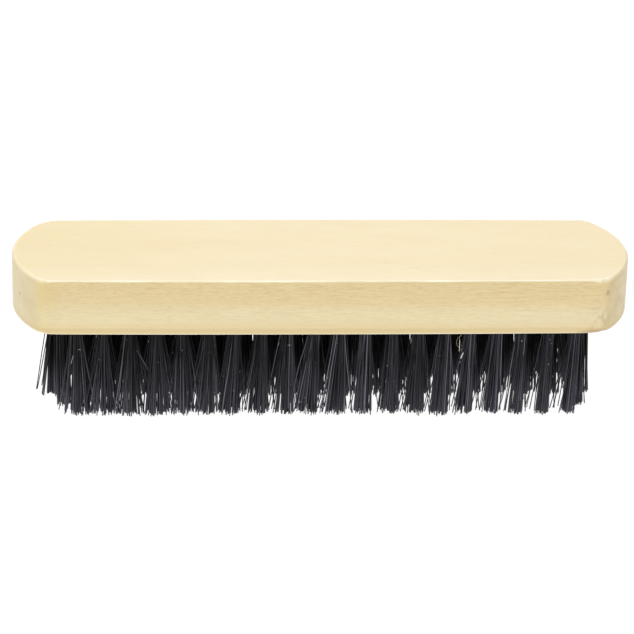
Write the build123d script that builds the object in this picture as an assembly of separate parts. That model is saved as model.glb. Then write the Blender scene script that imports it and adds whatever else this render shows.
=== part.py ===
from build123d import *

import math
import os

# A wooden clothes brush: a drilled wooden block with bristle tufts, each tuft folded in half and
# held in a blind hole by a flat metal anchor. Millimetres, +Z up. The brush stands on its bristle
# tips at Z = 0, centred on X = Y = 0, with its length along X and its front towards -Y.

# Wooden block
block_length = 165.0
block_width = 43.5
block_thickness = 15.4
end_radius = 32.7
side_radius = 5700.0
corner_radius = 9.0
edge_rounding = 0.5

# Layout of the tufts
bristle_length = 27.0
tuft_pitch = 7.0
outer_row_count = 20
middle_row_count = outer_row_count - 1
outer_row_y = 12.5
front_row_shift = 1.25
rear_row_shift = 0.25
end_tuft_x = 71.3
end_side_tuft_x = 69.3
end_side_tuft_y = 6.3

# Blind holes, drilled up from the underside of the block
hole_diameter = 3.2
hole_depth = 10.0
drill_point_angle = 118.0

# Tufts: they fill the hole, fold over the anchor's upper edge and spread towards their trimmed tips
tuft_tip_diameter = 5.6
fold_clearance = 0.4

# Flat metal anchors, which stand on edge across the hole and bite into both sides of it
anchor_bite = 0.4
anchor_height = 1.6
anchor_thickness = 0.3
anchor_angle = 45.0

# Derived sizes
hole_radius = hole_diameter / 2
tip_radius = tuft_tip_diameter / 2
drill_point_height = hole_radius / math.tan(math.radians(drill_point_angle / 2))
hole_bottom_z = bristle_length + hole_depth
fold_centre_z = hole_bottom_z - fold_clearance - hole_radius
anchor_width = hole_diameter + 2 * anchor_bite
anchor_top_z = fold_centre_z + anchor_thickness / 2


def row_places(count, y, shift=0.0):
    """Centres of a straight row of tufts, whose middle is shifted along X from the block's middle."""
    first_x = shift - (count - 1) * tuft_pitch / 2
    return [(first_x + i * tuft_pitch, y) for i in range(count)]


def end_places(side):
    """Centres of the three tufts that close one end: side is -1 for the left end, 1 for the right."""
    return {
        "front": (side * end_side_tuft_x, -end_side_tuft_y),
        "middle": (side * end_tuft_x, 0.0),
        "rear": (side * end_side_tuft_x, end_side_tuft_y),
    }


def block_blank():
    """The block before drilling: bowed ends, very slightly bowed sides, and rounded corners and edges."""
    arc_centre_spacing = block_length - 2 * end_radius
    with BuildPart() as blank:
        with BuildSketch(Plane.XY.offset(bristle_length)) as outline:
            SlotCenterToCenter(arc_centre_spacing, 2 * end_radius)
            for side in (-1, 1):
                with Locations((0, side * (side_radius - block_width / 2))):
                    Circle(side_radius, mode=Mode.INTERSECT)
            fillet(outline.vertices(), corner_radius)
        extrude(amount=block_thickness)
        rims = blank.faces().sort_by(Axis.Z)[0].edges() + blank.faces().sort_by(Axis.Z)[-1].edges()
        fillet(rims, edge_rounding)
    return blank.part


def drilled_hole():
    """The space that one drill leaves: a cylinder and the cone of the drill's point."""
    with BuildPart() as hole:
        with BuildSketch(Plane.XZ):
            with BuildLine():
                Polyline(
                    (0, bristle_length),
                    (hole_radius, bristle_length),
                    (hole_radius, hole_bottom_z),
                    (0, hole_bottom_z + drill_point_height),
                    close=True,
                )
            make_face()
        revolve(axis=Axis.Z)
    return hole.part


def anchor():
    """One flat anchor, on edge across the hole."""
    with BuildPart() as plate:
        with BuildSketch(Plane.XY.offset(anchor_top_z)):
            Rectangle(anchor_width, anchor_thickness, rotation=anchor_angle)
        extrude(amount=-anchor_height)
    return plate.part


def tuft():
    """One tuft: the round crown of its fold, the part that fills the hole, and the free bristles."""
    with BuildPart() as bundle:
        with BuildSketch(Plane.XZ):
            with BuildLine():
                Polyline(
                    (0, fold_centre_z + hole_radius),
                    (0, 0),
                    (tip_radius, 0),
                    (hole_radius, bristle_length),
                    (hole_radius, fold_centre_z),
                )
                CenterArc((0, fold_centre_z), hole_radius, 0, 90)
            make_face()
        revolve(axis=Axis.Z)
    return bundle.part - anchor()


def placed(shape, places):
    """Copies of a shape, one at each place of a list."""
    return [Pos(x, y, 0) * shape for x, y in places]


def wooden_block(places):
    """The block with a hole for each tuft, cut also by the anchors that bite into the wood."""
    return block_blank() - placed(drilled_hole(), places) - placed(anchor(), places)


def save(node, solids):
    """Writes one node, which holds one solid or a group of separate solids."""
    shape = solids[0] if len(solids) == 1 else Compound(children=solids)
    export_step(shape, f"parts/{node}.step")


def save_row(name, places):
    """Writes a row of tufts, one node for each tuft."""
    for number, solid in enumerate(placed(tuft(), places), start=1):
        save(f"{name}_tuft_{number:02d}", [solid])


os.makedirs("parts", exist_ok=True)

front_row = row_places(outer_row_count, -outer_row_y, front_row_shift)
middle_row = row_places(middle_row_count, 0.0)
rear_row = row_places(outer_row_count, outer_row_y, rear_row_shift)
ends = {"left_end": end_places(-1), "right_end": end_places(1)}
end_list = [place for end in ends.values() for place in end.values()]

save("wooden_block", [wooden_block(front_row + middle_row + rear_row + end_list)])
save_row("front", front_row)
save_row("rear", rear_row)
save("middle_row_tufts", placed(tuft(), middle_row))
for end_name, end in ends.items():
    for place_name, place in end.items():
        save(f"{end_name}_{place_name}_tuft", placed(tuft(), [place]))

anchor_groups = {
    "front_row": front_row,
    "middle_row": middle_row,
    "rear_row": rear_row,
    "left_end": list(ends["left_end"].values()),
    "right_end": list(ends["right_end"].values()),
}
for group_name, places in anchor_groups.items():
    save(f"{group_name}_anchors", placed(anchor(), places))
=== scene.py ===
import math

import bmesh
import bpy
import numpy as np
from mathutils import Matrix, Vector


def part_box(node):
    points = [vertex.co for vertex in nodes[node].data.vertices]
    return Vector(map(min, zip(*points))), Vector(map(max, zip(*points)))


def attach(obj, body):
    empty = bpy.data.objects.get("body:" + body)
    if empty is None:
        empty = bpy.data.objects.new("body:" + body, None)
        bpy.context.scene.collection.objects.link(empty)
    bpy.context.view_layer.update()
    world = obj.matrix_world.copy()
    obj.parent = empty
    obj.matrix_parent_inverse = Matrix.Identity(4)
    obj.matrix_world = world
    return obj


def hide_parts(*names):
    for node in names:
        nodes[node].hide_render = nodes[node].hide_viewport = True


# A wooden clothes brush. The block is one board with its grain along X, and every bristle is a
# filament folded over the flat anchor in its hole, so that both of its ends show. Metres, +Z up.

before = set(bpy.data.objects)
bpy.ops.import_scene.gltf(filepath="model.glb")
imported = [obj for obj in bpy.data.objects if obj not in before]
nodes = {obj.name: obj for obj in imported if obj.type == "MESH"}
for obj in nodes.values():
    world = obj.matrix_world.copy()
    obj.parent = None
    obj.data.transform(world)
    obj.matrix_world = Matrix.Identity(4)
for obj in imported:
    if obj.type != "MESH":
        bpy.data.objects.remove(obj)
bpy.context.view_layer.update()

MM = 0.001

# ---------------------------------------------------------------- sizes read from the frame

block_low, block_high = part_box("wooden_block")
underside = block_low.z
thickness = block_high.z - block_low.z
half_length = (block_high.x - block_low.x) / 2
half_width = (block_high.y - block_low.y) / 2


def centre_of(node):
    """Middle of a node's box in plan."""
    low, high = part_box(node)
    return Vector(((low.x + high.x) / 2, (low.y + high.y) / 2))


def hole_radius_of(node):
    """Radius of a tuft inside its hole: the widest that it is above the block's underside."""
    centre = centre_of(node)
    corners = (vertex.co for vertex in nodes[node].data.vertices)
    return max((corner.xy - centre).length for corner in corners if corner.z > underside + MM)


first_tuft = "front_tuft_01"
tuft_pitch = centre_of("front_tuft_02").x - centre_of(first_tuft).x
outer_row_y = -centre_of(first_tuft).y
tip_radius = (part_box(first_tuft)[1].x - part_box(first_tuft)[0].x) / 2
fold_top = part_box(first_tuft)[1].z
hole_radius = hole_radius_of(first_tuft)

# ---------------------------------------------------------------- driving sizes of the looks

# Outline of the block. Its corners differ. Its edges are sanded rounder along the ends than along
# the sides, and are worn rounder still near the front corners.
end_radius = 32.3 * MM
side_radius = 5700.0 * MM
front_corner_radius = 4.5 * MM
left_rear_corner_radius = 8.0 * MM
right_rear_corner_radius = 4.0 * MM
edge_rounding = 0.5 * MM
end_edge_rounding = 1.0 * MM
left_corner_wear = 0.4 * MM
right_corner_wear = 1.0 * MM
corner_wear_reach = 2.6 * MM

# Meshing of the block
outline_spacing = 0.8 * MM
fewest_arc_steps = 8
rounding_steps = 6
side_steps = 14
face_steps = 22
weld_distance = 0.02 * MM
block_sharp_angle = math.radians(35)

# The edges' rounding changes from the sides' to the ends' between these two shares of X in the
# direction that the outline faces
rounding_turns_from = 0.1
rounding_turns_to = 0.5

# Holes in the block
hole_depth = 10.0 * MM
hole_sides = 32
drill_point_angle = math.radians(118)
drill_point_height = hole_radius / math.tan(drill_point_angle / 2)

# Filaments
filament_radius = 0.13 * MM
filament_gap = 0.01 * MM
filament_sides = 6
filament_steps = 7
filament_sharp_angle = math.radians(60)
anchor_half_thickness = 0.15 * MM
anchor_turn = math.radians(45)
fold_base = fold_top - hole_radius

# Free ends of a tuft: most stay inside the core, some flare out of it along the row, and a few go
# astray. They draw together into groups, by a share of the way. How far they flare follows a beta
# distribution with this spread, and which ones do depends on their place in the tuft and on chance.
core_radius = 0.75 * tip_radius
core_unevenness = (0.85, 1.15)
flare_reach = 4.5 * MM
flare_spread = (1.2, 2.2)
flare_aside = 0.7 * MM
flare_chance = 0.4
stray_reach = 1.2 * MM
tip_groups = 9
front_group_pull = 0.35
inner_group_pull = 0.1

# How far the free ends lie from where they would be, how much the filaments wave on the way and how
# often, and how unevenly the tufts lean
front_scatter = 0.22 * MM
middle_scatter = 0.6 * MM
rear_scatter = 1.2 * MM
front_sway = 0.13 * MM
inner_sway = 0.3 * MM
swing_range = (0.6, 1.4)
front_lean_unevenness = 0.2 * MM
inner_lean_unevenness = 0.1 * MM
escape_unevenness = 0.1 * MM

# The trimmed plane is uneven, each tuft stops a little above it, and a few filaments stop higher still,
# by lengths in these ranges of millimetres
trim_unevenness = 0.55 * MM
tuft_lift = (0.0, 0.35)
short_share = 0.06
short_by = (0.5, 4.0)

# Shares of a tuft's free ends that flare to its left, which is a range, or to its right, and that go
# astray. More flare near the brush's left end and fewer near its right end: these changes start at a
# share of half of the block's length, and grow at a rate from there.
front_left_flare = (0.08, 0.18)
front_right_flare = 0.06
more_left_flare = 0.06
more_right_flare = 0.12
less_flare = 0.04
ends_start = 0.3
ends_rate = 3.0
inner_flare = 0.05
row_strays = 0.05
end_strays = 0.02

# How late the filaments of a tuft spread on their way down, as ranges: evenly at 1, earlier below it
# and later above it
front_bend = (1.0, 1.35)
middle_bend = (0.5, 0.8)
rear_bend = (0.35, 0.65)

# The front row's tufts beyond this share of half of the block's length are its first and last
last_tuft_share = 0.75

# How light the filaments are: a beta distribution, from 0 to 1
tone_spread = (1.1, 2.3)

# Lint on the front row: curls at these heights, as shares of the bristles' length, with these radii
# in millimetres and these turns in degrees, up to this share of a tuft's radius aside from its middle
lint_count = 34
lint_radius = 0.05 * MM
lint_heights = (0.1, 0.85)
lint_curl_radii = (0.15, 0.5)
lint_curl_turns = (30.0, 110.0)
lint_aside = 0.8
lint_tones = (1.2, 1.7)
lint_seed = 7
curl_points = 9
straight_points = 5

# How use has shaped the rows: at these places along half of the block's length, from the left end's
# -1 to the right end's 1, the half width of a front tuft at its tips, its lean along X, and the half
# widths of a middle and a rear tuft, in millimetres
worn_places = (-0.8, -0.45, -0.3, -0.1, 0.07, 0.24, 0.42, 0.6)
worn_half_widths = (3.8, 3.1, 2.8, 2.6, 2.5, 2.4, 2.4, 1.9)
worn_leans = (0.0, 0.0, -1.0, -0.3, -0.8, -0.2, -0.5, -0.9)
middle_half_widths = (3.6, 3.4, 3.2, 3.0, 3.0, 2.9, 2.6, 2.3)
rear_half_widths = (4.4, 4.4, 4.2, 3.9, 3.5, 3.3, 3.2, 3.2)

# How far the tufts that close the ends lean along X and Y at their tips, in millimetres
end_leans = {
    "left_end_front_tuft": (0.5, 0.0),
    "left_end_middle_tuft": (-0.5, 0.0),
    "left_end_rear_tuft": (0.0, 0.0),
    "right_end_front_tuft": (0.3, -0.7),
    "right_end_middle_tuft": (0.7, 0.8),
    "right_end_rear_tuft": (0.5, 1.0),
}

# Filaments that stand out from the tuft at the left end: free end from the tuft's middle along X and
# Y, and its height, in millimetres
escapes = [
    ((-5.0, -0.3), 1.8),
    ((-3.7, -0.5), 0.5),
    ((-3.5, -0.8), 0.1),
    ((-3.6, -0.2), 2.9),
    ((-3.3, -0.6), 0.4),
    ((-3.2, -0.9), 1.5),
]

# Small marks on the back: place along X and Y, and half sizes along X and Y, in millimetres
back_marks = [
    (-72.5, 3.2, 1.2, 0.4),
    (-70.6, -3.1, 0.5, 0.4),
    (-40.8, 1.0, 0.8, 0.3),
    (16.6, -9.7, 0.8, 0.35),
    (23.2, -12.6, 1.1, 0.3),
    (24.9, -12.9, 0.3, 0.9),
    (28.9, -11.8, 0.25, 1.1),
    (29.9, -12.0, 0.25, 0.9),
    (44.0, 7.9, 0.5, 0.4),
    (46.4, -2.8, 0.7, 0.35),
]

# Specks on the ends: -1 for the left end or 1 for the right, how far round its arc they lie towards
# the front in degrees, and their height above the underside and their radius in millimetres
end_specks = [
    (-1, 22.0, 8.0, 0.8),
    (1, 40.0, 11.4, 1.1),
]

# Colours of the wood: its faces, with painted light on the back and low on the sides, its grain, what
# making and use have left on it, and painted shade at a corner and painted highlights on the edges
yellow_back = (0.842, 0.712, 0.412, 1.0)
pale_strip = (0.900, 0.790, 0.560, 1.0)
side_tan = (0.805, 0.652, 0.352, 1.0)
side_floor_light = (0.855, 0.738, 0.462, 1.0)
mottle_tan = (0.76, 0.62, 0.37, 1.0)
line_brown = (0.66, 0.49, 0.24, 1.0)
hair_brown = (0.60, 0.44, 0.21, 1.0)
vessel_brown = (0.50, 0.38, 0.21, 1.0)
nick_brown = (0.42, 0.30, 0.16, 1.0)
corner_shade_yellow = (0.740, 0.588, 0.264, 1.0)
edge_brown = (0.66, 0.49, 0.22, 1.0)
edge_highlight_cream = (0.97, 0.91, 0.72, 1.0)
mark_brown = (0.60, 0.45, 0.22, 1.0)
speck_brown = (0.40, 0.23, 0.10, 1.0)
smudge_brown = (0.48, 0.37, 0.18, 1.0)
stain_brown = (0.40, 0.28, 0.13, 1.0)

# Colours of the filaments: the painted light from the floor that tints their tips, the black of the
# painted shade at their roots, and pale lint
tip_floor_tint = (1.0, 0.97, 1.18, 1.0)
root_shade_black = (0.001, 0.001, 0.001, 1.0)
lint_white = (0.75, 0.75, 0.72, 1.0)


# ---------------------------------------------------------------- small helpers


def add_object(name, mesh, *materials):
    """A new object in the scene with these materials."""
    piece = bpy.data.objects.new(name, mesh)
    bpy.context.scene.collection.objects.link(piece)
    for material in materials:
        mesh.materials.append(material)
    return piece


def smooth(mesh, sharp_angle):
    """Shades a mesh smooth, except at edges that turn by more than this angle."""
    mesh.polygons.foreach_set("use_smooth", [True] * len(mesh.polygons))
    mesh.set_sharp_from_angle(angle=sharp_angle)


def place_piece(piece, slot, *replaced):
    """Fixes a piece to the brush, in place of these CAD nodes."""
    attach(piece, "root")
    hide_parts(*replaced)


class Nodes:
    """A node tree, with one call for each kind of node."""

    def __init__(self, tree):
        self.tree = tree

    def node(self, kind, inputs=None, **settings):
        """Adds a node. inputs maps a socket's name or number to a value or to another node's output."""
        made = self.tree.nodes.new("ShaderNode" + kind)
        for key, value in settings.items():
            setattr(made, key, value)
        for key, value in (inputs or {}).items():
            self.feed(made.inputs[key], value)
        return made

    def feed(self, socket, value):
        """Gives a socket a value, or links another node's output to it."""
        if isinstance(value, bpy.types.NodeSocket):
            self.tree.links.new(value, socket)
        else:
            socket.default_value = value

    def math(self, operation, first, second=0.0):
        return self.node("Math", {0: first, 1: second}, operation=operation).outputs[0]

    def multiply(self, first, second):
        return self.math("MULTIPLY", first, second)

    def noise(self, scale, detail=2.0, roughness=0.5, distortion=0.0):
        """Noise over the object. scale is how many times it changes in a metre along X, Y and Z."""
        inputs = {
            "Vector": self.scaled_place(scale),
            "Scale": 1.0,
            "Detail": detail,
            "Roughness": roughness,
            "Distortion": distortion,
        }
        return self.node("TexNoise", inputs).outputs["Fac"]

    def place(self):
        """The object's own coordinates in metres."""
        return self.node("TexCoord").outputs["Object"]

    def scaled_place(self, scale):
        """The object's own coordinates, multiplied by a scale along X, Y and Z."""
        return self.node("Mapping", {"Vector": self.place(), "Scale": scale}).outputs[0]

    def split(self, vector):
        """The X, Y and Z of a vector."""
        return self.node("SeparateXYZ", {0: vector}).outputs

    def spot(self, centre, reach):
        """1 at a point of the object, fading to 0 at this distance from it."""
        inputs = {0: self.place(), 1: centre}
        distance = self.node("VectorMath", inputs, operation="DISTANCE").outputs["Value"]
        return self.between(distance, 0.0, reach, 1.0, 0.0)

    def patch(self, centre, half_sizes, solid_share=0.4):
        """1 in the middle part of an ellipsoid, fading to 0 at its surface."""
        offset = self.node("VectorMath", {0: self.place(), 1: centre}, operation="SUBTRACT").outputs[0]
        scaled = self.node("VectorMath", {0: offset, 1: half_sizes}, operation="DIVIDE").outputs[0]
        distance = self.node("VectorMath", {0: scaled}, operation="LENGTH").outputs["Value"]
        return self.between(distance, solid_share, 1.0, 1.0, 0.0)

    def ramp(self, value, stops):
        """A colour ramp. stops are pairs of a position and a colour."""
        made = self.node("ValToRGB", {"Fac": value})
        elements = made.color_ramp.elements
        for position, _ in stops[len(elements):]:
            elements.new(position)
        for element, (position, colour) in zip(elements, stops):
            element.position = position
            element.color = (*colour, 1.0)
        return made.outputs["Color"]

    def between(self, value, low, high, to_low=0.0, to_high=1.0):
        """Maps a value from one range to another, held at its ends."""
        inputs = {
            "Value": value,
            "From Min": low,
            "From Max": high,
            "To Min": to_low,
            "To Max": to_high,
        }
        return self.node("MapRange", inputs, clamp=True).outputs[0]

    def mix(self, factor, first, second, blend="MIX"):
        """Two colours mixed, from all of the first at 0 to all of the second at 1."""
        # The sockets for colours share their names with others, so they go by number.
        made = self.node("Mix", {"Factor": factor}, data_type="RGBA", blend_type=blend)
        self.feed(made.inputs[6], first)
        self.feed(made.inputs[7], second)
        return made.outputs[2]

    def tint(self, level, colour):
        """A colour multiplied by a level."""
        grey = self.node("CombineColor", {0: level, 1: level, 2: level}).outputs[0]
        return self.mix(1.0, colour, grey, "MULTIPLY")

    def bump(self, height, distance, strength):
        inputs = {"Height": height, "Distance": distance, "Strength": strength}
        return self.node("Bump", inputs).outputs[0]


class Shader(Nodes):
    """The node tree of a new material."""

    def __init__(self, name):
        self.material = bpy.data.materials.new(name)
        self.material.use_nodes = True
        super().__init__(self.material.node_tree)
        self.surface = self.tree.nodes["Principled BSDF"]

    def set(self, name, value):
        self.feed(self.surface.inputs[name], value)


# ---------------------------------------------------------------- materials


def wood_material():
    """Pale, even, straight-grained wood, sanded smooth."""
    shader = Shader("pale_wood")
    x, y, z = shader.split(shader.place())
    facing_x, _, facing_z = shader.split(shader.node("NewGeometry").outputs["Normal"])
    figure = shader.noise((7.0, 45.0, 90.0), 2.0, 0.5, 0.4)
    lines = shader.noise((150.0, 3000.0, 3000.0), 3.0, 0.6)
    hairs = shader.noise((500.0, 4200.0, 4200.0), 2.0)

    flatness = shader.between(shader.math("ABSOLUTE", facing_z), 0.45, 0.85)
    face = shader.mix(flatness, long_side(shader, figure, z), flat_face(shader, figure, x, y))
    face = with_grain(shader, face, lines, hairs, flatness, z)
    endness = shader.between(shader.math("ABSOLUTE", facing_x), 0.35, 0.85)
    colour = shader.mix(endness, face, end_grain(shader, x))
    shader.set("Base Color", with_marks_and_painted_light(shader, colour, x, z, facing_x, facing_z))
    shader.set("Roughness", shader.between(lines, 0.3, 0.7, 0.32, 0.42))
    relief = shader.math("ADD", shader.multiply(lines, 0.7), shader.multiply(hairs, 0.3))
    shader.set("Normal", shader.bump(relief, 0.02 * MM, 0.5))
    shader.set("Specular IOR Level", 0.4)
    return shader.material


def flat_face(shader, figure, x, y):
    """The pale back and underside, yellower at the left end and paler along the front. Their being paler
    than the sides is partly painted light: it stands for the brighter light on the back.
    """
    colour = shader.ramp(
        figure,
        [
            (0.28, (0.832, 0.688, 0.414)),
            (0.45, (0.866, 0.735, 0.476)),
            (0.72, (0.881, 0.758, 0.510)),
        ],
    )
    yellowness = shader.between(x, -0.35 * half_length, -0.8 * half_length, 0.0, 0.45)
    colour = shader.mix(yellowness, colour, yellow_back)
    front_strip = shader.between(y, -half_width + 11.0 * MM, -half_width + MM, 0.0, 0.85)
    return shader.mix(front_strip, colour, pale_strip)


def long_side(shader, figure, z):
    """The long sides, darker than the back, with painted light from the white floor in a paler band low
    down.
    """
    band_height = shader.math("ADD", z, shader.between(figure, 0.3, 0.7, -1.5 * MM, 1.5 * MM))
    band_offset = shader.math("ABSOLUTE", shader.math("SUBTRACT", band_height, underside + 5.2 * MM))
    floor_light_band = shader.between(band_offset, 1.0 * MM, 5.0 * MM, 1.0, 0.0)
    # Painted light: the paler band stands for light thrown up from the floor.
    return shader.mix(floor_light_band, side_tan, side_floor_light)


def with_grain(shader, face, lines, hairs, flatness, z):
    """Faint mottling and fine grain. The grain shows more clearly on the sides than on the back, and
    most of all near the back."""
    mottle = shader.noise((60.0, 170.0, 170.0), 3.0, 0.6)
    face = shader.mix(shader.between(mottle, 0.35, 0.65, 0.0, 0.16), face, mottle_tan)
    near_back = shader.between(z, underside + 0.2 * thickness, underside + 0.85 * thickness, 0.04, 0.40)
    side_depth = shader.multiply(shader.between(flatness, 0.0, 1.0, 1.0, 0.0), near_back)
    line_depth = shader.math("ADD", side_depth, 0.14)
    face = shader.mix(shader.multiply(shader.between(lines, 0.42, 0.72), line_depth), face, line_brown)
    hair_depth = shader.math("ADD", side_depth, 0.12)
    return shader.mix(shader.multiply(shader.between(hairs, 0.46, 0.72), hair_depth), face, hair_brown)


def end_grain(shader, x):
    """Mottled end grain, darker at the right end: partly the wood's own colour, partly painted shade, as
    the light falls from the left.
    """
    blotches = shader.noise((200.0, 200.0, 280.0), 4.0, 0.6)
    vessels = shader.noise((3000.0, 3000.0, 3000.0), 2.0, 0.6)
    left = shader.ramp(blotches, [(0.30, (0.650, 0.535, 0.300)), (0.70, (0.712, 0.608, 0.372))])
    # The right end's darker colours are partly painted shade.
    right = shader.ramp(blotches, [(0.30, (0.580, 0.450, 0.228)), (0.70, (0.705, 0.582, 0.330))])
    grain = shader.mix(shader.between(x, -half_length / 2, half_length / 2), left, right)
    return shader.mix(shader.between(vessels, 0.55, 0.75, 0.0, 0.32), grain, vessel_brown)


def with_marks_and_painted_light(shader, colour, x, z, facing_x, facing_z):
    """The wood's colour with everything that making and use have left on it, and with painted shade at
    the front side's left end and painted highlights along the edges.
    """
    not_back = shader.between(facing_z, 0.5, 0.2)
    colour = with_nicks(shader, colour)
    colour = with_corner_shade(shader, colour, x, z, facing_x, not_back)
    colour = with_edges(shader, colour, z, facing_x, facing_z, not_back)
    colour = with_back_marks(shader, colour)
    colour = with_end_specks(shader, colour)
    return with_stains(shader, colour)


def with_nicks(shader, colour):
    """A few small dark nicks all over the wood."""
    inputs = {"Vector": shader.scaled_place((90.0, 260.0, 260.0)), "Scale": 1.0}
    cells = shader.node("TexVoronoi", inputs).outputs
    nick = shader.between(cells["Distance"], 0.035, 0.09, 1.0, 0.0)
    chosen = shader.between(shader.split(cells["Color"])[0], 0.955, 0.96)
    return shader.mix(shader.multiply(shader.multiply(nick, chosen), 0.35), colour, nick_brown)


def with_corner_shade(shader, colour, x, z, facing_x, not_back):
    """A yellower zone of the front side at its left end, strongest near the back: painted shade where
    the side turns round into the end.
    """
    near_corner = shader.between(x, -half_length + 14.0 * MM, -half_length + 9.0 * MM)
    not_end = shader.between(facing_x, -0.85, -0.6)
    corner = shader.multiply(shader.multiply(near_corner, not_end), not_back)
    yellowed = shader.between(z, underside + 0.3 * thickness, underside + 0.8 * thickness, 0.25, 0.65)
    # Painted shade: a darker, yellower colour where the surface turns.
    return shader.mix(shader.multiply(corner, yellowed), colour, corner_shade_yellow)


def with_edges(shader, colour, z, facing_x, facing_z, not_back):
    """A browner line just above the lower edge, and painted highlights on the rounded edges along the
    sides: on the upper edges for the lamp overhead, on the lower ones for the light from the floor.
    """
    near_edge = shader.math("ABSOLUTE", shader.math("SUBTRACT", z, underside + 1.25 * MM))
    browned = shader.multiply(shader.between(near_edge, 0.3 * MM, 0.85 * MM, 1.0, 0.0), not_back)
    colour = shader.mix(shader.multiply(browned, 0.38), colour, edge_brown)
    steepness = shader.math("ABSOLUTE", facing_z)
    not_side = shader.between(steepness, 0.2, 0.45)
    not_flat = shader.between(steepness, 0.999, 0.96)
    unevenness = shader.between(shader.noise((60.0, 40.0, 40.0)), 0.38, 0.58, 0.35, 1.0)
    along_side = shader.between(shader.math("ABSOLUTE", facing_x), 0.08, 0.3, 1.0, 0.2)
    # Painted highlight: a paler colour on the rounded edges, uneven along them, for the light that they
    # reflect.
    highlight_edge = shader.multiply(not_side, not_flat)
    painted_highlight = shader.multiply(shader.multiply(highlight_edge, unevenness), along_side)
    return shader.mix(painted_highlight, colour, edge_highlight_cream)


def with_back_marks(shader, colour):
    """The small marks on the back."""
    for mark_x, mark_y, half_x, half_y in back_marks:
        centre = (mark_x * MM, mark_y * MM, underside + thickness)
        mark = shader.patch(centre, (half_x * MM, half_y * MM, MM))
        colour = shader.mix(shader.multiply(mark, 0.3), colour, mark_brown)
    return colour


def with_end_specks(shader, colour):
    """A dark speck on each end."""
    bow_x = half_length - end_radius
    for end, turn, height, radius in end_specks:
        angle = math.radians(turn)
        speck_x = end * (bow_x + end_radius * math.cos(angle))
        centre = (speck_x, -end_radius * math.sin(angle), underside + height * MM)
        speck = shader.spot(centre, radius * MM)
        colour = shader.mix(shader.multiply(speck, 0.8), colour, speck_brown)
    return colour


def with_stains(shader, colour):
    """A smudge low down at the right end of the front side, and a brown stain on the edge below it."""
    smudge_centre = (half_length - 9.5 * MM, -half_width, underside + 4.0 * MM)
    dirt = shader.between(shader.noise((500.0, 500.0, 250.0)), 0.4, 0.6)
    smudge = shader.multiply(shader.spot(smudge_centre, 4.5 * MM), dirt)
    colour = shader.mix(shader.multiply(smudge, 0.8), colour, smudge_brown)
    stain_centre = (half_length - 9.5 * MM, -half_width + MM, underside + 0.3 * MM)
    stain = shader.patch(stain_centre, (7.0 * MM, 3.0 * MM, 1.3 * MM))
    return shader.mix(shader.multiply(stain, 0.7), colour, stain_brown)


def bristle_material():
    """Near-black nylon filament with a soft sheen. A tone from 0 to 1 makes a filament lighter, and one
    above 1 is pale lint. The colour also holds painted light: sheen in the lighter tones, light from the
    floor at the tips and more light towards the right end, and painted shade near the block."""
    shader = Shader("black_filament")
    tone = shader.node("Attribute", attribute_name="tone").outputs["Fac"]
    x, y, z = shader.split(shader.place())
    streak = shader.noise((500.0, 500.0, 60.0))
    shade = shader.math("ADD", shader.multiply(tone, 0.8), shader.multiply(streak, 0.2))
    # The lighter tones are partly painted sheen, which makes up for the low specular level.
    colour = shader.ramp(
        shade,
        [
            (0.10, (0.002, 0.002, 0.003)),
            (0.35, (0.012, 0.011, 0.016)),
            (0.60, (0.063, 0.061, 0.078)),
            (1.00, (0.226, 0.217, 0.248)),
        ],
    )
    # Painted light from the white floor: the filaments grow lighter and bluer towards their tips.
    tip_floor_light = shader.between(z, 0.62 * underside, 0.12 * underside, 0.0, 0.034)
    # Painted light: the filaments grow lighter towards the right end.
    colour = shader.tint(shader.between(x, -0.2 * half_length, 0.5 * half_length, 1.0, 1.4), colour)
    colour = shader.mix(1.0, colour, shader.tint(tip_floor_light, tip_floor_tint), "ADD")
    # Painted shade near the block.
    colour = shader.mix(root_painted_shade(shader, x, y, z), colour, root_shade_black)
    colour = shader.mix(shader.between(tone, 1.05, 2.0), colour, lint_white)
    shader.set("Base Color", colour)
    shader.set("Roughness", 0.45)
    shader.set("Specular IOR Level", 0.25)
    return shader.material


def root_painted_shade(shader, x, y, z):
    """Painted shade on the filaments towards the block: most of all in the inner rows and the left half.
    """
    inner_row_shade = shader.multiply(
        shader.between(y, -0.85 * outer_row_y, -0.6 * outer_row_y),
        shader.between(z, 0.15 * underside, 0.5 * underside, 0.0, 0.95),
    )
    left_root_shade = shader.multiply(
        shader.between(z, 0.25 * underside, 0.85 * underside),
        shader.between(x, 0.1 * half_length, -0.5 * half_length, 0.0, 0.6),
    )
    return shader.math("MAXIMUM", inner_row_shade, left_root_shade)


def metal_material():
    """Plain flat steel wire, lightly brushed along its length."""
    shader = Shader("anchor_steel")
    brushed = shader.noise((900.0, 900.0, 4000.0), 3.0)
    steel_greys = [(0.3, (0.42, 0.41, 0.39)), (0.7, (0.62, 0.61, 0.58))]
    shader.set("Base Color", shader.ramp(brushed, steel_greys))
    shader.set("Roughness", shader.between(brushed, 0.3, 0.7, 0.25, 0.42))
    shader.set("Normal", shader.bump(brushed, 0.01 * MM, 0.4))
    shader.set("Metallic", 1.0)
    return shader.material


# ---------------------------------------------------------------- wooden block


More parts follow.
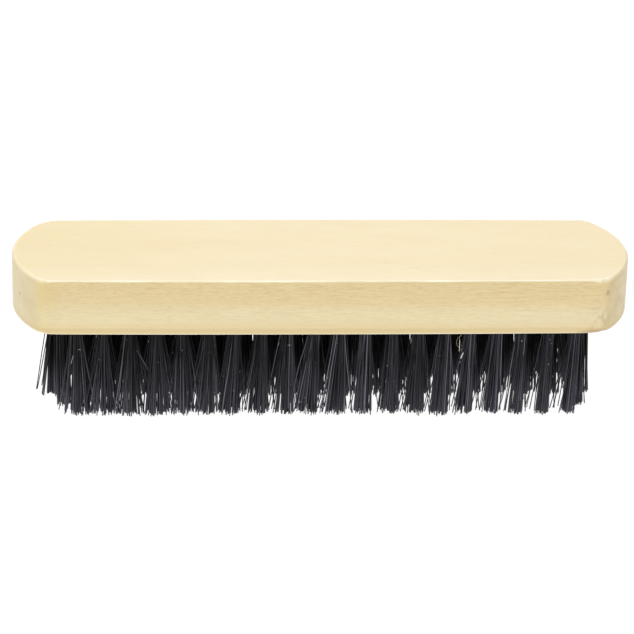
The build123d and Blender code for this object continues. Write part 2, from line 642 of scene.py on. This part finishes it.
def quarter_outline(corner_radius, spacing):
    """Points of a quarter of the block's plan, from the tip of the end to the middle of the long side:
    the end's arc, the corner's arc, which touches the other two from inside, and the side's arc."""
    end_middle = np.array([half_length - end_radius, 0.0])
    side_middle = np.array([0.0, half_width - side_radius])
    to_end = end_radius - corner_radius
    to_side = side_radius - corner_radius
    between = end_middle - side_middle
    reach = np.linalg.norm(between)
    along = (to_side**2 - to_end**2 + reach**2) / (2 * reach)
    ahead = between / reach
    aside = np.array([ahead[1], -ahead[0]])
    corner_middle = side_middle + along * ahead + math.sqrt(to_side**2 - along**2) * aside
    end_turn = math.atan2(*(corner_middle - end_middle)[::-1])
    side_turn = math.atan2(*(corner_middle - side_middle)[::-1])

    def arc(middle, radius, start, stop, endpoint=False):
        """Points along an arc, anticlockwise."""
        steps = max(fewest_arc_steps, round(radius * (stop - start) / spacing))
        angles = np.linspace(start, stop, steps, endpoint=endpoint)
        return middle + radius * np.column_stack([np.cos(angles), np.sin(angles)])

    return np.concatenate(
        [
            arc(end_middle, end_radius, 0.0, end_turn),
            arc(corner_middle, corner_radius, end_turn, side_turn),
            arc(side_middle, side_radius, side_turn, math.pi / 2, endpoint=True),
        ]
    )


def plan_outline(spacing):
    """Points round the block in plan, anticlockwise: bowed sides and ends, and rounded corners."""
    right_rear = quarter_outline(right_rear_corner_radius, spacing)
    left_rear = quarter_outline(left_rear_corner_radius, spacing)[::-1] * (-1, 1)
    left_front = -quarter_outline(front_corner_radius, spacing)
    right_front = left_front[::-1] * (-1, 1)
    return np.concatenate([right_rear, left_rear[1:], left_front[1:], right_front[1:-1]])


def corner_wear(outline):
    """How much rounder the edges are near the front corners."""
    corner_x = half_length - end_radius + math.sqrt(end_radius**2 - half_width**2)
    wear = np.zeros(len(outline))
    for x, depth in ((-corner_x, left_corner_wear), (corner_x, right_corner_wear)):
        distance = np.linalg.norm(outline - (x, -half_width), axis=1)
        wear += depth * np.exp(-((distance / corner_wear_reach) ** 2))
    return wear


def block_rings():
    """Rings of points from near the middle of the underside, round the edges, to near the middle of
    the back."""
    outline = plan_outline(outline_spacing)
    spine_end = half_length - half_width
    spine = np.column_stack([np.clip(outline[:, 0], -spine_end, spine_end), np.zeros(len(outline))])
    ahead = np.roll(outline, -1, axis=0) - np.roll(outline, 1, axis=0)
    inward = np.column_stack([-ahead[:, 1], ahead[:, 0]])
    inward /= np.linalg.norm(inward, axis=1)[:, None]
    facing_end = np.abs(inward[:, 0]) - rounding_turns_from
    endness = np.clip(facing_end / (rounding_turns_to - rounding_turns_from), 0.0, 1.0)
    rounding = edge_rounding + (end_edge_rounding - edge_rounding) * endness**2 * (3 - 2 * endness)
    rounding += corner_wear(outline)
    flat_rim = outline + inward * rounding[:, None]
    shares = np.linspace(1.0, 0.0, face_steps + 1)[1:-1]
    face_rings = [spine + (flat_rim - spine) * share for share in shares]

    def ring_at(plan, heights):
        """A ring of points at these heights above the underside."""
        return np.column_stack([plan, np.broadcast_to(heights, len(plan))])

    def rim_ring(angle, top):
        """A ring on the rounded edge of the back or of the underside, this angle round from the face."""
        plan = outline + inward * (rounding * (1 - math.sin(angle)))[:, None]
        height = rounding * (1 - math.cos(angle))
        return ring_at(plan, thickness - height if top else height)

    angles = [math.pi / 2 * step / rounding_steps for step in range(rounding_steps + 1)]
    side_shares = np.linspace(0.0, 1.0, side_steps + 1)[1:-1]
    rings = [ring_at(ring, 0.0) for ring in reversed(face_rings)]
    rings += [rim_ring(angle, False) for angle in angles]
    rings += [ring_at(outline, rounding + (thickness - 2 * rounding) * share) for share in side_shares]
    rings += [rim_ring(angle, True) for angle in reversed(angles)]
    rings += [ring_at(ring, thickness) for ring in face_rings]
    return rings


def block_mesh():
    """The undrilled block."""
    rings = block_rings()
    count = len(rings[0])
    points = np.concatenate(rings) + np.array([0.0, 0.0, underside])
    faces = []
    for low in range(0, len(points) - count, count):
        high = low + count
        for i in range(count):
            j = (i + 1) % count
            faces.append((low + i, low + j, high + j, high + i))
    faces.append(tuple(range(count)))
    faces.append(tuple(range(len(points) - count, len(points))))
    mesh = bpy.data.meshes.new("wooden_block_mesh")
    mesh.from_pydata(points.tolist(), [], faces)
    shape = bmesh.new()
    shape.from_mesh(mesh)
    bmesh.ops.remove_doubles(shape, verts=shape.verts, dist=weld_distance)
    bmesh.ops.recalc_face_normals(shape, faces=shape.faces)
    shape.to_mesh(mesh)
    shape.free()
    return mesh


def hole_cutter(places):
    """All drilled holes as one cutter: cylinders with the cone of the drill's point."""
    start = underside - MM
    wall_top = underside + hole_depth
    shape = bmesh.new()
    for place in places:
        rings = []
        for height in (start, wall_top):
            ring = []
            for i in range(hole_sides):
                angle = 2 * math.pi * i / hole_sides
                x = place.x + hole_radius * math.cos(angle)
                y = place.y + hole_radius * math.sin(angle)
                ring.append(shape.verts.new((x, y, height)))
            rings.append(ring)
        point = shape.verts.new((place.x, place.y, wall_top + drill_point_height))
        shape.faces.new(list(reversed(rings[0])))
        for i in range(hole_sides):
            j = (i + 1) % hole_sides
            shape.faces.new((rings[0][i], rings[0][j], rings[1][j], rings[1][i]))
            shape.faces.new((rings[1][i], rings[1][j], point))
    mesh = bpy.data.meshes.new("hole_cutter")
    shape.to_mesh(mesh)
    shape.free()
    return add_object("hole_cutter", mesh)


def make_block(places, material):
    """The drilled block."""
    piece = add_object("wooden_block_board", block_mesh(), material)
    cutter = hole_cutter(places)
    drill = piece.modifiers.new("holes", "BOOLEAN")
    drill.object = cutter
    drill.operation = "DIFFERENCE"
    drill.solver = "EXACT"
    drilled = bpy.data.meshes.new_from_object(
        piece.evaluated_get(bpy.context.evaluated_depsgraph_get())
    )
    piece.modifiers.clear()
    piece.data = drilled
    bpy.data.objects.remove(cutter)
    smooth(drilled, block_sharp_angle)
    place_piece(piece, "wood", "wooden_block")


# ---------------------------------------------------------------- bristles


def bundle_places():
    """Where filaments cross the hole on one side of the anchor: pairs of a place along the anchor and
    a distance from its middle plane, packed as closely as round filaments can be."""
    pitch = 2 * filament_radius + filament_gap
    places = []
    distance = anchor_half_thickness + filament_radius + filament_gap
    row = 0
    while distance < hole_radius - filament_radius:
        half_chord = math.sqrt((hole_radius - filament_radius) ** 2 - distance**2)
        shift = pitch / 2 * (row % 2)
        first = math.ceil((-half_chord - shift) / pitch)
        last = math.floor((half_chord - shift) / pitch)
        places += [(i * pitch + shift, distance) for i in range(first, last + 1)]
        distance += pitch * math.sqrt(3) / 2
        row += 1
    return np.array(places)


def gathered(tips, pull, rng):
    """The same free ends drawn together into groups, by this share of the way."""
    middles = tips[rng.choice(len(tips), tip_groups, replace=False)]
    nearest = np.argmin(np.linalg.norm(tips[:, None] - middles[None], axis=2), axis=1)
    return tips + (middles[nearest] - tips) * pull


def spread_tips(roots, centre, habit, rng):
    """Free ends of one tuft's filaments in plan, from where they leave the hole."""
    count = len(roots)
    outward = (roots - centre) / (hole_radius - filament_radius)
    tips = centre + outward * np.array(habit["core"]) * rng.uniform(*core_unevenness, (count, 1))
    tips += rng.normal(0.0, habit["scatter"], (count, 2))
    tips = gathered(tips, habit["pull"], rng)
    for side in (-1, 1):
        eagerness = side * outward[:, 0] + rng.normal(0.0, flare_chance, count)
        flared = np.argsort(-eagerness)[: round(habit["flare"][side] * count)]
        tips[flared, 0] += side * flare_reach * rng.beta(*flare_spread, len(flared))
        tips[flared, 1] += rng.normal(0.0, flare_aside, len(flared))
    stray = rng.random(count) < habit["strays"]
    tips[stray] += rng.normal(0.0, stray_reach, (stray.sum(), 2))
    return tips + np.array(habit["lean"])


def tip_heights(roots, tips, habit, rng):
    """Heights of the free ends above the trimmed plane. Those that flare stop higher up."""
    count = len(tips)
    flare = np.linalg.norm(tips - roots, axis=1)
    heights = np.abs(rng.normal(0.0, trim_unevenness, count)) + habit["lift"] + flare**2 / underside
    short = rng.random(count) < short_share
    heights[short] += rng.uniform(*short_by, short.sum()) * MM
    return heights


def free_leg(roots, tips, heights, habit, rng):
    """Lines from inside the hole to the free ends: one line for each filament."""
    count = len(roots)
    bend = rng.uniform(*habit["bend"], count)
    sway = rng.normal(0.0, habit["sway"], (count, 2))
    swings = rng.uniform(*swing_range, count)
    start = rng.uniform(0.0, 2 * math.pi, count)
    leg = np.zeros((filament_steps + 2, count, 3))
    leg[0, :, :2] = roots
    leg[0, :, 2] = fold_base
    for step in range(filament_steps + 1):
        down = step / filament_steps
        out = (down**bend)[:, None]
        wave = np.sin(start + 2 * math.pi * swings * down) - np.sin(start)
        leg[step + 1, :, :2] = roots + (tips - roots) * out + sway * wave[:, None] * down
        leg[step + 1, :, 2] = underside + (heights - underside) * down
    return leg


def filament_paths(centre, habit, rng):
    """Lines that the filaments of one tuft follow, from one free end over the anchor to the other."""
    places = bundle_places()
    along = np.array([math.cos(anchor_turn), math.sin(anchor_turn)])
    across = np.array([-along[1], along[0]])
    legs = []
    for side in (1, -1):
        roots = centre + places[:, :1] * along + side * places[:, 1:] * across
        tips = spread_tips(roots, centre, habit, rng)
        heights = tip_heights(roots, tips, habit, rng)
        outermost = np.argsort(roots[:, 0])
        for chosen, (offset, height) in zip(outermost, habit["escapes"]):
            tips[chosen] = centre + np.array(offset) * MM + rng.normal(0.0, escape_unevenness, 2)
            heights[chosen] = height * MM
        legs.append(free_leg(roots, tips, heights, habit, rng))
    turns = [math.pi * quarter / 4 for quarter in (1, 2, 3)]
    paths = []
    for number, (place_along, radius) in enumerate(places):
        middle = centre + place_along * along
        fold = [
            (*(middle + radius * math.cos(turn) * across), fold_base + radius * math.sin(turn))
            for turn in turns
        ]
        paths.append(np.concatenate([legs[0][::-1, number], np.array(fold), legs[1][:, number]]))
    return np.array(paths)


def tube_mesh(name, paths, radius, tones):
    """One mesh of closed round tubes along these lines, with a tone for each tube."""
    count, rings, _ = paths.shape
    tangent = np.gradient(paths, axis=1)
    tangent /= np.linalg.norm(tangent, axis=2)[:, :, None]
    no_tube_follows = np.array([0.31, 0.95, 0.05])
    side = np.cross(tangent, no_tube_follows)
    side /= np.linalg.norm(side, axis=2)[:, :, None]
    other = np.cross(tangent, side)
    angles = 2 * math.pi * np.arange(filament_sides) / filament_sides
    offsets = (
        np.cos(angles)[:, None] * side[:, :, None, :] + np.sin(angles)[:, None] * other[:, :, None, :]
    )
    points = paths[:, :, None, :] + radius * offsets
    per_tube = rings * filament_sides
    faces = []
    for tube in range(count):
        base = tube * per_tube
        for ring in range(rings - 1):
            low = base + ring * filament_sides
            high = low + filament_sides
            for i in range(filament_sides):
                j = (i + 1) % filament_sides
                faces.append((low + i, high + i, high + j, low + j))
        faces.append(tuple(base + i for i in range(filament_sides)))
        end = base + per_tube - filament_sides
        faces.append(tuple(end + i for i in reversed(range(filament_sides))))
    mesh = bpy.data.meshes.new(name)
    mesh.from_pydata(points.reshape(-1, 3).tolist(), [], faces)
    values = np.repeat(tones, per_tube).astype(np.float32)
    mesh.attributes.new("tone", "FLOAT", "POINT").data.foreach_set("value", values)
    smooth(mesh, filament_sharp_angle)
    return mesh


def endward(place):
    """0 in the middle part of the brush, growing to 1 towards the end that a place is measured to."""
    return min(max(place - ends_start, 0.0) * ends_rate, 1.0)


def front_habit(place, rng):
    """How a front tuft spreads: the most near the left end, and the least near the right end, and there
    mostly to the left."""
    half_spread = float(np.interp(place, worn_places, worn_half_widths)) * MM
    lean = float(np.interp(place, worn_places, worn_leans)) * MM
    leftness = endward(-place)
    rightness = endward(place)
    return {
        "core": (half_spread, core_radius),
        "flare": {
            -1: rng.uniform(*front_left_flare) + more_left_flare * leftness - less_flare * rightness,
            1: front_right_flare + more_right_flare * leftness - less_flare * rightness,
        },
        "strays": row_strays,
        "pull": front_group_pull,
        "scatter": front_scatter,
        "sway": front_sway,
        "lift": rng.uniform(*tuft_lift) * MM,
        "lean": (
            lean + rng.normal(0.0, front_lean_unevenness),
            rng.normal(0.0, front_lean_unevenness),
        ),
        "bend": front_bend,
        "escapes": [],
    }


def inner_habit(place, rear, rng):
    """How a tuft of the middle or the rear row differs: it stands straighter, and spreads early, so
    that it closes the gaps behind the front row near the block."""
    half_widths = rear_half_widths if rear else middle_half_widths
    return {
        "core": (float(np.interp(place, worn_places, half_widths)) * MM, core_radius),
        "lean": (rng.normal(0.0, inner_lean_unevenness), 0.0),
        "bend": rear_bend if rear else middle_bend,
        "flare": {-1: inner_flare, 1: inner_flare},
        "pull": inner_group_pull,
        "scatter": rear_scatter if rear else middle_scatter,
        "sway": inner_sway,
    }


def end_habit(node):
    """How a tuft that closes an end differs: it stands straighter, and each leans its own way."""
    habit = {
        "core": (core_radius, core_radius),
        "flare": {-1: 0.0, 1: 0.0},
        "strays": end_strays,
        "lean": tuple(lean * MM for lean in end_leans[node]),
    }
    if node == "left_end_middle_tuft":
        habit["escapes"] = escapes
    return habit


def tuft_habit(node, centre, rng):
    """How one tuft spreads: as a front tuft does, except where its row or end differs. core holds its
    half widths at the tips, flare the share of its ends that flare to the left and to the right, strays
    the share that go astray, and lift how far above the trimmed plane its longest ends stop."""
    place = centre.x / half_length
    habit = front_habit(place, rng)
    if "_end_" in node:
        habit.update(end_habit(node))
    elif centre.y > -outer_row_y / 2:
        habit.update(inner_habit(place, centre.y > outer_row_y / 2, rng))
    elif abs(place) > last_tuft_share:
        # The front row's first and last tufts keep within it.
        habit["flare"][round(math.copysign(1, place))] = 0.0
    return habit


def make_tuft(name, node, centre, seed, material):
    """One tuft of bristles, standing for its CAD node."""
    rng = np.random.default_rng(seed)
    paths = filament_paths(np.array(centre), tuft_habit(node, centre, rng), rng)
    tones = rng.beta(*tone_spread, len(paths))
    mesh = tube_mesh(name, paths, filament_radius, tones)
    place_piece(add_object(name, mesh, material), "bristle", node)


def row_nodes(row):
    """The single-tuft nodes whose names start with a row's name, in order."""
    return sorted(node for node in nodes if node.startswith(row + "_tuft_"))


def middle_centres():
    """Centres of the middle row's tufts, which share one node."""
    low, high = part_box("middle_row_tufts")
    count = round((high.x - low.x - 2 * tip_radius) / tuft_pitch) + 1
    y = (low.y + high.y) / 2
    return [Vector((low.x + tip_radius + i * tuft_pitch, y)) for i in range(count)]


def tuft_places():
    """(piece name, node, centre) of every tuft."""
    single = row_nodes("front") + row_nodes("rear")
    single += sorted(node for node in nodes if "_end_" in node and node.endswith("_tuft"))
    places = [(node + "_bristles", node, centre_of(node)) for node in single]
    for number, centre in enumerate(middle_centres(), start=1):
        places.append((f"middle_tuft_{number:02d}_bristles", "middle_row_tufts", centre))
    return places


def curl(middle, radius, start, stop, depth):
    """A line along an arc that faces the front: its middle along X and Z, its radius and its depth along
    Y in millimetres, and its angles in degrees from +X, anticlockwise."""
    angles = np.radians(np.linspace(start, stop, curl_points))
    x = middle[0] + radius * np.cos(angles)
    z = middle[1] + radius * np.sin(angles)
    return np.column_stack([x, np.full(len(angles), depth), z]) * MM


def make_wood_fibre(material):
    """A fibre of wood that hangs in front of the bristles, right of the middle."""
    path = curl(middle=(38.0, 21.6), radius=2.2, start=110.0, stop=255.0, depth=-14.5)
    mesh = tube_mesh("wood_fibre", path[None], 0.03 * MM, np.zeros(1))
    place_piece(add_object("wood_fibre", mesh, material), "wood", "wooden_block")


def make_lint(material):
    """Short pale fibres of lint on the front of the front row."""
    rng = np.random.default_rng(lint_seed)
    row = [centre_of(node) for node in row_nodes("front")]
    paths = []
    for _ in range(lint_count):
        centre = row[rng.integers(len(row))]
        height = rng.uniform(*lint_heights) * underside
        front = hole_radius + (core_radius - hole_radius) * (1 - height / underside)
        aside = rng.uniform(-lint_aside, lint_aside)
        depth = (centre.y - front * math.sqrt(1 - aside**2) - 2 * lint_radius) / MM
        middle = ((centre.x + aside * front) / MM, height / MM)
        start = rng.uniform(0.0, 360.0)
        radius = rng.uniform(*lint_curl_radii)
        stop = start + rng.uniform(*lint_curl_turns)
        paths.append(curl(middle, radius, start, stop, depth))
    mesh = tube_mesh("lint", np.array(paths), lint_radius, rng.uniform(*lint_tones, lint_count))
    place_piece(add_object("lint", mesh, material), "bristle", *row_nodes("front"))


def straight_piece(name, node, ends, radius, tone, material):
    """A thin straight piece that lies on a tuft. ends are its two ends in millimetres."""
    first, last = np.array(ends) * MM
    path = first + (last - first) * np.linspace(0.0, 1.0, straight_points)[:, None]
    mesh = tube_mesh(name, path[None], radius, np.array([tone]))
    place_piece(add_object(name, mesh, material), "bristle", node)


def make_flakes(material):
    """A white flake under the fibre of wood, a pale one near the left end and a loose filament."""
    white = ((37.7, -14.6, 18.6), (37.1, -14.7, 16.9))
    straight_piece("white_flake", "front_tuft_16", white, 0.13 * MM, 2.0, material)
    pale = ((-66.2, -15.6, 18.5), (-66.8, -15.6, 16.1))
    straight_piece("pale_flake", "front_tuft_01", pale, 0.08 * MM, 1.3, material)
    loose = ((-49.3, -14.0, 19.3), (-46.4, -14.0, 13.7))
    straight_piece("loose_filament", "front_tuft_03", loose, 0.09 * MM, 0.9, material)


# ---------------------------------------------------------------- camera, light and floor


def make_camera():
    """The camera looks at the block from the front, a little above and from the left, through a long
    lens."""
    azimuth = math.radians(-3.723)
    elevation = math.radians(23.516)
    roll = math.radians(-1.355)
    distance = 874.0 * MM
    aside, above = -0.689 * MM, -3.964 * MM
    back = Vector(
        (
            math.sin(azimuth) * math.cos(elevation),
            -math.cos(azimuth) * math.cos(elevation),
            math.sin(elevation),
        )
    )
    right = Vector((math.cos(azimuth), math.sin(azimuth), 0.0))
    up = back.cross(right)
    camera = bpy.data.objects.new("camera", bpy.data.cameras.new("camera"))
    bpy.context.scene.collection.objects.link(camera)
    camera.data.lens = 184.1
    camera.data.clip_start = 0.05
    camera.data.clip_end = 20.0
    target = Vector((0.0, 0.0, underside))
    turned_right = math.cos(roll) * right - math.sin(roll) * up
    turned_up = math.sin(roll) * right + math.cos(roll) * up
    turn = Matrix((turned_right, turned_up, back)).transposed()
    place = target + aside * right + above * up + distance * back
    camera.matrix_world = Matrix.Translation(place) @ turn.to_4x4()
    bpy.context.scene.camera = camera


def area_light(name, place, target, size, power):
    """A rectangular lamp that faces a target and that the camera doesn't see. power is in watts."""
    light = bpy.data.lights.new(name, "AREA")
    light.shape = "RECTANGLE"
    light.size, light.size_y = size
    light.energy = power
    lamp = bpy.data.objects.new(name, light)
    bpy.context.scene.collection.objects.link(lamp)
    lamp.location = place
    lamp.rotation_mode = "QUATERNION"
    lamp.rotation_quaternion = (Vector(target) - Vector(place)).to_track_quat("-Z", "Y")
    lamp.visible_camera = False


def make_light():
    """A white room that is dimmer overhead, a bright soft box above and a weak one at the left."""
    world = bpy.data.worlds.new("white_room")
    bpy.context.scene.world = world
    world.use_nodes = True
    room = Nodes(world.node_tree)
    direction = room.split(room.node("TexCoord").outputs["Generated"])
    background = room.tree.nodes["Background"]
    room.feed(background.inputs["Color"], (1.0, 1.0, 1.0, 1.0))
    room.feed(background.inputs["Strength"], room.between(direction["Z"], 0.12, 1.0, 1.0, 0.55))
    middle = (0.0, 0.0, underside)
    area_light("overhead", (-0.05, 0.05, 0.9), middle, size=(0.7, 0.35), power=3.2)
    area_light("left", (-0.9, -0.35, 0.45), middle, size=(0.5, 0.4), power=1.0)
    bpy.context.scene.view_settings.view_transform = "Standard"


def make_floor():
    """A plain white floor that the brush stands on. It glows, so the brush hardly darkens it."""
    shader = Shader("white_floor")
    shader.set("Base Color", (0.08, 0.08, 0.08, 1.0))
    shader.set("Roughness", 0.8)
    shader.set("Specular IOR Level", 0.0)
    shader.set("Emission Color", (1.0, 1.0, 1.0, 1.0))
    shader.set("Emission Strength", 0.97)
    reach = 4.0
    below_tips = 0.05 * MM
    mesh = bpy.data.meshes.new("floor")
    corners = [(-reach, -reach, 0.0), (reach, -reach, 0.0), (reach, reach, 0.0), (-reach, reach, 0.0)]
    mesh.from_pydata(corners, [], [(0, 1, 2, 3)])
    floor = add_object("floor", mesh, shader.material)
    floor.location.z = -below_tips


# ---------------------------------------------------------------- the brush


def assign(node, material):
    """Gives a CAD node that stays in view a material."""
    piece = nodes[node]
    piece.data.materials.clear()
    piece.data.materials.append(material)


make_camera()
make_light()
make_floor()

wood = wood_material()
bristle = bristle_material()
steel = metal_material()

tufts = tuft_places()
make_block([centre for _, _, centre in tufts], wood)
for seed, (piece_name, node, centre) in enumerate(tufts):
    make_tuft(piece_name, node, centre, seed, bristle)
make_wood_fibre(wood)
make_lint(bristle)
make_flakes(bristle)
for anchors in sorted(node for node in nodes if node.endswith("_anchors")):
    assign(anchors, steel)
